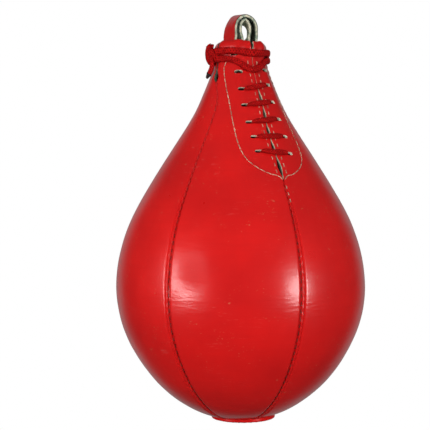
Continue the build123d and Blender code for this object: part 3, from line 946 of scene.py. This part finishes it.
def stitches_along(stops, pitch, share):
    """Stitches in even steps along a smooth line of (x, z) stops."""
    line = np.array([(p.x, p.z) for p in smooth_line([(x, 0, z) for x, z in stops], 12)])
    run = np.concatenate([[0], np.cumsum(np.hypot(*np.diff(line, axis=0).T))])
    count = int(run[-1] / pitch)
    parts = []
    for k in range(count):
        ends = []
        for at in (k, k + share):
            ends += [float(np.interp(at * run[-1] / count, run, line[:, c])) for c in (0, 1)]
        parts.append(stitch(*ends))
    return parts


FACING_PITCH, FACING_SHARE = 3.9, 0.84  # and how much of it a stitch takes
SLIT_PITCH, SLIT_STITCH = 4.6, 2.2  # and the length of a stitch


def make_facing_stitches():
    parts = []
    for sign in (-1, 1):
        stops = [(sign * half, z) for half, z in STITCH_LINE]
        parts += stitches_along(stops, FACING_PITCH, FACING_SHARE)
    put_together("facing_stitching", parts, CREAM_THREAD, "stitch_thread", "facing_stitches")


SLIT_ASIDE = 3.6  # from the slit's middle to its stitches
SEAM_HEAD_Z = [SLIT_END_Z - 4.5 * k for k in (1, 2, 3)]  # pale stitches that start the front seam


def make_slit_stitches():
    parts = []
    for sign in (-1, 1):
        z = SLIT_END_Z + 4
        while z < -24:
            x = float(slit_sway(z + 1)) + sign * (SLIT_ASIDE + 0.15 * random.uniform(-1, 1))
            parts.append(stitch(x, z, x, z + SLIT_STITCH, 0.52, 0.36))
            z += SLIT_PITCH
    for z in SEAM_HEAD_Z:
        parts.append(stitch(0.25, z, 0.35, z - 1.9, 0.62, 0.4))
    put_together("slit_stitching", parts, CREAM_THREAD, "stitch_thread", "slit_stitches")


make_facing_stitches()
make_slit_stitches()

# ---- lacing ----

LACE_THICK = 2.0
HALF_RUNG = [  # from a slot to half way across: (share across, lift, width)
    (0.00, -4.6, 2.0), (0.01, -1.6, 2.1), (0.05, 0.7, 2.6), (0.16, 1.15, 3.5), (0.34, 1.35, 4.0),
]
RUNG = [*HALF_RUNG, (0.50, 1.30, 4.2), *((1 - share, lift, wide) for share, lift, wide in HALF_RUNG[::-1])]
LEG_INSET = 1.7  # from a slot's middle towards the slit
LADDER_STEPS = 6


def make_ladder():
    """The lace through the slots, as one length: out, over the slit, in, and on to the next pair."""
    stops, wides = [], []
    for (x0, z0), (x1, z1) in zip(SLOTS["left"][FIRST_LACED:], SLOTS["right"][FIRST_LACED:]):
        x0, x1 = x0 + LEG_INSET, x1 - LEG_INSET
        for share, lift, wide in RUNG:
            sag = 0.5 * math.sin(math.pi * share)
            (place,), (up,) = front_points([(x0 + (x1 - x0) * share, z0 + (z1 - z0) * share - sag)], [lift])
            stops.append((place, up))
            wides.append(wide)
    line = smooth_line([p for p, _ in stops], LADDER_STEPS)
    at = [i / LADDER_STEPS for i in range(len(line))]
    ups = []
    for t in at:
        i = min(int(t), len(stops) - 2)
        ups.append(stops[i][1].lerp(stops[i + 1][1], t - i).normalized())
    wides = [float(np.interp(t, range(len(stops)), wides)) for t in at]
    body = swept(line, ups, wides, [min(LACE_THICK, w * 0.8) for w in wides], 16, 0.85)
    put_together("lacing", [body], LACE, "lace_cord", "lace_ladder")


def wrap_height(route, azimuth):
    """The height of a wrap's middle: level behind, and following the route in front."""
    x = WRAP_R * math.sin(math.radians(azimuth))
    if math.cos(math.radians(azimuth)) < 0:
        return route[0][1] if x < 0 else route[-1][1]
    return float(np.interp(x, [p[0] for p in route], [p[1] for p in route]))


# the middle of each wrap in front, from left to right: (x, z)
UPPER_WRAP = [(-30.0, -16.8), (-14.0, -16.9), (-2.0, -19.2), (7.0, -19.2), (15.0, -16.9), (30.0, -16.8)]
LOWER_WRAP = [
    (-30.0, -22.6), (-19.0, -22.6), (-13.0, -24.2), (-7.0, -28.6), (-2.0, -32.4),
    (1.5, -31.6), (6.2, -27.6), (11.3, -24.0), (17.0, -22.4), (30.0, -22.4),
]
WRAP_STEPS = 120
WRAP_R = 19.5  # about how far from the axis
WRAP_THICK, WRAP_LIFT = 3.3, 1.35


def make_wrap(name, node, route, wide, wobble):
    heights = [wrap_height(route, 360 * i / WRAP_STEPS) for i in range(WRAP_STEPS)]
    line, ups, wides = [], [], []
    for i in range(WRAP_STEPS + 1):
        azimuth, turn = 360 * i / WRAP_STEPS, math.tau * i / WRAP_STEPS
        even = sum(heights[(i + k) % WRAP_STEPS] for k in range(-4, 5)) / 9
        s = float(SKIN.s_at(even + wobble * math.sin(turn * 3 + 1)))
        line.append(SKIN.point(s, azimuth, WRAP_LIFT + 0.25 * math.sin(turn * 7)))
        ups.append(SKIN.normal(s, azimuth))
        wides.append(wide * (1 + 0.06 * math.sin(turn * 5 + 2)))
    body = swept(line, ups, wides, WRAP_THICK, 18, 0.85)
    put_together(name, [body], LACE, "lace_cord", node)


def polar(azimuth, radius, z):
    return compass(azimuth) * radius + Vector((0, 0, z))


KNOT_TURNS = [  # (azimuth, radius, z)
    [
        (-124, 19.6, -18.5), (-117, 21.4, -16.0), (-108, 22.8, -14.6), (-98, 22.9, -16.2), (-90, 21.4, -19.8),
        (-84, 20.2, -22.2),
    ],
    [(-122, 19.7, -22.8), (-114, 21.8, -23.2), (-104, 22.8, -22.2), (-94, 22.4, -19.0), (-87, 20.9, -17.0)],
    [
        (-108, 19.5, -12.6), (-108, 22.4, -12.4), (-106, 23.8, -15.6), (-105, 23.9, -19.4),
        (-105, 23.0, -22.8), (-105, 20.4, -25.2),
    ],
]
KNOT_WIDE, KNOT_THICK = 4.7, 3.4


def make_knot():
    """Turns of lace that cross each other at the side of the neck."""
    parts = []
    for turn in KNOT_TURNS:
        line = smooth_line([polar(*p) for p in turn], 7)
        ups = [Vector((p.x, p.y, 0)).normalized() for p in line]
        parts.append(swept(line, ups, KNOT_WIDE, KNOT_THICK, 16, 0.95))
    put_together("knot", parts, LACE, "lace_cord", "lace_knot")


TAIL_ROUTE = [  # up behind the knot, over it and down
    (-18.6, 9.2, -19.5), (-19.4, 11.4, -16.0), (-20.6, 10.4, -12.6), (-22.2, 6.8, -12.3), (-23.7, 3.9, -15.4),
    (-23.5, 1.2, -20.4), (-22.9, -0.7, -25.2), (-22.9, -0.2, -29.6), (-23.8, 2.6, -32.9),
]
TAIL_WIDE, TAIL_THICK = 4.0, 1.5
TIP_SHAPE = [  # (distance from the lace's end, width, thickness)
    (-0.6, 4.2, 1.7), (0.0, 4.2, 1.7), (1.2, 3.2, 1.5), (2.4, 2.5, 1.4), (3.3, 1.9, 1.3), (3.6, 1.0, 0.8),
]


def nurbs_points(route):
    """The smooth line of the route: a NURBS spline that has the route's points as its control points."""
    curve = bpy.data.curves.new("route", "CURVE")
    curve.dimensions = "3D"
    curve.resolution_u = 12
    spline = curve.splines.new("NURBS")
    spline.points.add(len(route) - 1)
    for point, place in zip(spline.points, route):
        point.co = (*(c * MM for c in place), 1)
    spline.order_u = 3
    spline.use_endpoint_u = True
    holder = new_object("route", curve)
    line = [v.co / MM for v in evaluated_mesh(holder).vertices]
    bpy.data.objects.remove(holder)
    return line


def make_tail():
    line = nurbs_points(TAIL_ROUTE)
    count = len(line)
    over = Vector((0, 0, 1))
    ups = []
    for i, p in enumerate(line):
        out = Vector((p.x, p.y, 0)).normalized()
        t = i / (count - 1)
        fold = float(hump(t, 0.36, 0.12))
        turn = 0.9 * float(smooth(0.6, 1.0, t))
        forward = compass(math.degrees(math.atan2(p.x, -p.y)) + 90)
        ups.append((out * (1 - fold) + over * fold + forward * turn).normalized())
    wides = [TAIL_WIDE * (0.85 + 0.15 * float(smooth(0.5, 1, i / count))) for i in range(count)]
    body = swept(line, ups, wides, TAIL_THICK)
    tail = put_together("tail", [body], LACE, "lace_cord", "lace_tail")

    along = (line[-1] - line[-3]).normalized()
    run, tip_wides, tip_thicks = zip(*TIP_SHAPE)
    tip_body = swept([line[-1] + along * d for d in run], [ups[-1]] * len(run), tip_wides, tip_thicks)
    tip = put_together("tail_tip", [tip_body], TIP, "lace_tip", "lace_tip")


make_ladder()
make_wrap("upper_wrap", "lace_upper_wrap", UPPER_WRAP, 5.0, 0.25)
make_wrap("lower_wrap", "lace_lower_wrap", LOWER_WRAP, 4.6, -0.2)
make_knot()
make_tail()

# ---- hanging loop ----

STRAP, STRAP_WIDTH = 2.4, 17.0  # its thickness and width
OUTER_INNER_X, OUTER_RISE = 7.0, 8.8  # the outer strap's inner face: half its width, and its crown's height
EYE_R, EYE_RISE, INNER_FOOT_X = 4.0, 5.2, 1.5  # the same of the inner strap, and half its width in the neck
TAIL_END_Z = -36.0
BEND_TOP_Z, BEND_END_Z = -4.0, -10.0
LEAN_TOP_Z, CROWN_FOOT_Z = -2.0, -0.9  # where a leg has spread to its full width, and where the crown begins
FAR_LEAN = 2.2  # how far the far left of the outer strap leans in at its top
EDGE_LINE = 0.5  # the dark dyed line along each side of a cut edge


def strap_line(inner_x, foot_x, rise):
    """The strap's inner face in the XZ plane, up the left leg, over the crown and down the right leg."""
    leg = [(foot_x, z) for z in np.linspace(TAIL_END_Z, BEND_END_Z, 12)]
    for z in np.linspace(BEND_END_Z, LEAN_TOP_Z, 7)[1:]:
        leg.append((foot_x + (inner_x - foot_x) * float(smooth(BEND_END_Z, LEAN_TOP_Z, z)), z))
    leg.append((inner_x, CROWN_FOOT_Z))
    crown = [(-inner_x * math.cos(a), rise * math.sin(a)) for a in np.linspace(0, math.pi, 31)]
    return [(-x, z) for x, z in leg] + crown + leg[::-1]


def strap_shift(p, half, near, far):
    """How far a strap's legs are pulled sideways above the neck: (left, right) at its near and far edges."""
    back = p.y / STRAP_WIDTH + 0.5
    right = float(smooth(-0.7 * half, 0.9 * half, p.x))
    edges = [low * (1 - back) + high * back for low, high in zip(near, far)]
    free = float(smooth(-10, -5, p.z))
    lean = FAR_LEAN * back * (1 - right) * float(smooth(-5, 9, p.z))
    return free * (edges[0] * (1 - right) + edges[1] * right + lean)


def make_strap(which, line, under, over, tilt, half, near, far):
    """A strap with rounded corners. Its crown's far side stands a little higher than its near side."""
    name = f"{which}_strap"
    line = [Vector((x, 0, z)) for x, z in line]
    side = STRAP_WIDTH / 2
    across = np.linspace(-side, side, 13)
    section = [(y, 0.0) for y in across] + [(side, EDGE_LINE), (side, STRAP - EDGE_LINE)]
    section += [(y, STRAP) for y in across[::-1]] + [(-side, STRAP - EDGE_LINE), (-side, EDGE_LINE)]
    rows, count = len(line), len(section)
    edge = [DARK, RAW, DARK]
    kinds = ([under] * (len(across) - 1) + edge + [over] * (len(across) - 1) + edge) * (rows - 1) + [RAW, RAW]
    points = []
    for i, here in enumerate(line):
        before, after = line[max(i - 1, 0)], line[min(i + 1, len(line) - 1)]
        along = (after - before).normalized()
        out = Vector((-along.z, 0, along.x))
        for y, h in section:
            lift = tilt * max(0.0, here.z) / 9 * (y / STRAP_WIDTH * 2)
            rough = 0.12 * noise.noise((here + Vector((0, y, h))) / 3)
            p = here + out * (h + rough) + Vector((0, y, lift))
            p.x += strap_shift(p, half, near, far)
            points.append(p)
    faces = tube_faces(rows, count) + tube_ends(rows, count)
    strap = new_object(name, new_mesh(name, points, faces, [LEATHER_RED, STRAP_RAW, EDGE_DARK], kinds))
    bevel = strap.modifiers.new("round", "BEVEL")
    bevel.width = 0.35 * MM
    bevel.segments = 2
    bevel.limit_method = "ANGLE"
    bevel.angle_limit = math.radians(50)
    strap.data = evaluated_mesh(strap)
    strap.modifiers.clear()
    sharp_over(strap.data, 35)
    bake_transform(strap)
    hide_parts(*(f"{which}_loop_{part}" for part in ("strap", "bends", "tails")))


OUTER_LINE = strap_line(OUTER_INNER_X, OUTER_INNER_X, OUTER_RISE)
INNER_LINE = strap_line(EYE_R, INNER_FOOT_X, EYE_RISE)
make_strap("outer", OUTER_LINE, DARK, RED_FACE, 1.2, OUTER_INNER_X, (0.5, 0.5), (0.0, 5.7))
make_strap("inner", INNER_LINE, RAW, DARK, 0.0, EYE_R, (1.0, -1.8), (0.0, 5.7))

# ---- base patch ----

PATCH_MORE = 1.12  # the patch is cut larger than the disc it stands for
PATCH_ASIDE = 0.10  # and sits off centre
PATCH_TOWARDS = 64.0  # at this azimuth


def patch_s(radius, azimuth):
    """Where on the profile the patch's ring of that radius is, at that azimuth."""
    wide = radius * (PATCH_MORE + PATCH_ASIDE * math.cos(math.radians(azimuth - PATCH_TOWARDS)))
    low = SKIN.z < WIDEST_Z
    return float(np.interp(-wide, -SKIN.r[low], SKIN.s[low]))


def patch_droop(azimuth):
    """How much further the patch's edge stands off the bag there."""
    return 0.26 + 0.22 * math.cos(math.radians(azimuth - PATCH_TOWARDS))


PATCH_THICK = 1.7
PATCH_EDGE = [(-0.8, 1.68), (-0.4, 1.55), (-0.1, 1.3), (0.0, 0.9), (0.0, 0.05)]  # (radius from the rim, lift)
PATCH_RINGS, PATCH_TURNS = 16, 72
PATCH_STITCHES, PATCH_HEM = 30, 2.4  # and how far from the rim they are


def make_base_patch():
    rings, turns = PATCH_RINGS, PATCH_TURNS
    points = []
    flat = rings - len(PATCH_EDGE)
    radii = [*np.linspace(0, DISC_R - 1.2, flat), *(DISC_R + more for more, _ in PATCH_EDGE)]
    lifts = [*[PATCH_THICK] * flat, *(lift for _, lift in PATCH_EDGE)]
    for k in range(1, rings):
        for j in range(turns):
            azimuth = 360 * j / turns
            lift = lifts[k] * (1 + patch_droop(azimuth) * float(smooth(11, 19, radii[k])))
            lift += 0.1 * noise.noise(Vector((k * 0.3, j * 0.4, 1)))
            points.append(SKIN.point(patch_s(radii[k], azimuth), azimuth, lift))
    points.append(SKIN.point(SKIN.length, 0, PATCH_THICK))
    centre = len(points) - 1
    faces = tube_faces(rings - 1, turns) + [(centre, (j + 1) % turns, j) for j in range(turns)]
    mesh = new_mesh("base_patch", points, faces, [PATCH_RED])
    sharp_over(mesh, 60)
    patch = new_object("base_patch", mesh, "bag")
    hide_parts("base_disc")

    stitches = []
    for j in range(PATCH_STITCHES):
        line, ups = [], []
        for i in range(6):
            azimuth = 360 * (j + 0.1 + 0.7 * i / 5) / PATCH_STITCHES
            s = patch_s(DISC_R - PATCH_HEM, azimuth)
            lift = PATCH_THICK * (1 + 0.92 * patch_droop(azimuth)) - 0.35 + 0.25 * math.sin(math.pi * i / 5)
            line.append(SKIN.point(s, azimuth, lift))
            ups.append(SKIN.normal(s, azimuth))
        stitches.append(swept(line, ups, 0.7, 0.4, *THREAD_RING))
    put_together("base_stitches", stitches, SEAM_THREAD, "stitch_thread")


make_base_patch()

# ---- carried-over CAD pieces ----

INSIDE = {"_lining": LINING, "_lace_facing": FACING_PAINTED_SHADE, "lacing_tongue": TONGUE, "bladder": RUBBER}
for node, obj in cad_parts.items():
    for word, material in INSIDE.items():
        if word in node:
            obj.data.materials.clear()
            obj.data.materials.append(material)

# ---- floor and light ----

FLOOR_DROP, FLOOR_R = 260.0, 1150.0
BAG_MIDDLE = Vector((0, 0, -0.14))


def make_floor():
    """A round pale floor, well below the bag."""
    n = Nodes("pale_floor")
    n.set(Base_Color=n.mix(n.noise(120, 2), (0.90, 0.90, 0.90), (0.94, 0.94, 0.94)), Roughness=0.9)
    low = CAD_BOX[0].z / MM - FLOOR_DROP
    points = [compass(5 * i) * FLOOR_R + Vector((0, 0, low)) for i in range(72)]
    mesh = new_mesh("floor", points, [tuple(range(72))], [n.material])
    floor = new_object("floor", mesh)
    floor.visible_glossy = False
    floor.visible_diffuse = False


def make_light(name, azimuth, distance, z, width, height, power, gives):
    """A soft box, aimed at the bag, that gives either diffuse light or a glossy highlight."""
    data = bpy.data.lights.new(name, "AREA")
    data.shape = "ELLIPSE"
    data.size, data.size_y, data.energy = width, height, power
    light = new_object(name, data)
    place = compass(VIEW_AZIMUTH + azimuth) * distance + Vector((0, 0, z))
    aim(light, place, BAG_MIDDLE - place)
    light.visible_camera = False
    light.visible_glossy = gives == "glossy"
    light.visible_diffuse = gives == "diffuse"
    data.cycles.use_multiple_importance_sampling = light.visible_glossy


LAMPS = {  # (azimuth from the view, distance, z, width, height, power, what it gives), in metres and watts
    "key": (-10, 1.7, 0.10, 1.6, 1.6, 25, "diffuse"),
    "left_fill": (-62, 1.5, 0.0, 0.80, 0.80, 6.0, "diffuse"),
    "right_fill": (66, 1.5, -0.3, 0.80, 0.80, 8.0, "diffuse"),
    "back_fill": (175, 1.8, 0.4, 1.0, 1.0, 14, "diffuse"),
    "right_box": (50, 1.5, -0.18, 0.50, 0.54, 9.5, "glossy"),
}
LEFT_ARC = [  # small lamps in a curve, like a curled reflector: (azimuth from the view, z, power)
    (-64.0, 0.23, 0.35), (-66.0, 0.11, 0.8), (-64.5, -0.02, 1.1), (-60.5, -0.14, 1.5), (-54.5, -0.245, 1.8),
    (-46.5, -0.305, 1.8), (-39.5, -0.28, 0.7), (-57.0, 0.33, 0.25), (-48.0, 0.37, 0.3), (-40.0, 0.31, 0.15),
]
ARC_DISTANCE, ARC_LAMP = 1.5, 0.26  # and how wide each lamp is
for number, (azimuth, z, power) in enumerate(LEFT_ARC):
    LAMPS[f"left_{number}"] = (azimuth, ARC_DISTANCE, z, ARC_LAMP, ARC_LAMP, power, "glossy")
AMBIENT = 0.30  # the soft light from above and all round
AMBIENT_LOW = 0.14  # and from below
AMBIENT_TURN = (-0.9, 0.3)  # the slopes of a direction between which one turns into the other
BACKDROP_GLOW = 0.30  # how bright the backdrop is in reflections
ROOM_GLOW = 0.02
BACKDROP_EDGE = (0.60, 0.92)  # how far round the backdrop starts and is full, as cosines


def make_world():
    """A white backdrop behind the bag in a dark studio, with even light from all round."""
    world = bpy.data.worlds.new("studio")
    bpy.context.scene.world = world
    n = Nodes("studio", world)

    def background(strength):
        node = n.add("ShaderNodeBackground", Color=(1.0, 1.0, 1.0, 1), Strength=strength)
        return node.outputs["Background"]

    def mix(share, a, b):
        node = n.add("ShaderNodeMixShader")
        for socket, source in zip(node.inputs, (share, a, b)):
            n.put(socket, source)
        return node.outputs["Shader"]

    direction = n.add("ShaderNodeTexCoord").outputs["Generated"]
    behind = n.add("ShaderNodeVectorMath", operation="DOT_PRODUCT")
    n.put(behind.inputs[0], direction)
    n.put(behind.inputs[1], -compass(VIEW_AZIMUTH))
    backdrop = n.share(behind.outputs["Value"], *BACKDROP_EDGE, interpolation_type="SMOOTHSTEP")
    height = n.add("ShaderNodeSeparateXYZ", Vector=direction).outputs["Z"]
    above = n.share(height, *AMBIENT_TURN, interpolation_type="SMOOTHSTEP")
    path = n.add("ShaderNodeLightPath")
    shine = mix(backdrop, background(ROOM_GLOW), background(BACKDROP_GLOW))
    even = mix(above, background(AMBIENT_LOW), background(AMBIENT))
    light = mix(path.outputs["Is Glossy Ray"], even, shine)
    seen = mix(path.outputs["Is Camera Ray"], light, background(1.0))
    n.put(n.tree.nodes["World Output"].inputs["Surface"], seen)


make_floor()
make_world()
for name, lamp in LAMPS.items():
    make_light(name, *lamp)
bpy.context.scene.view_settings.view_transform = "Standard"
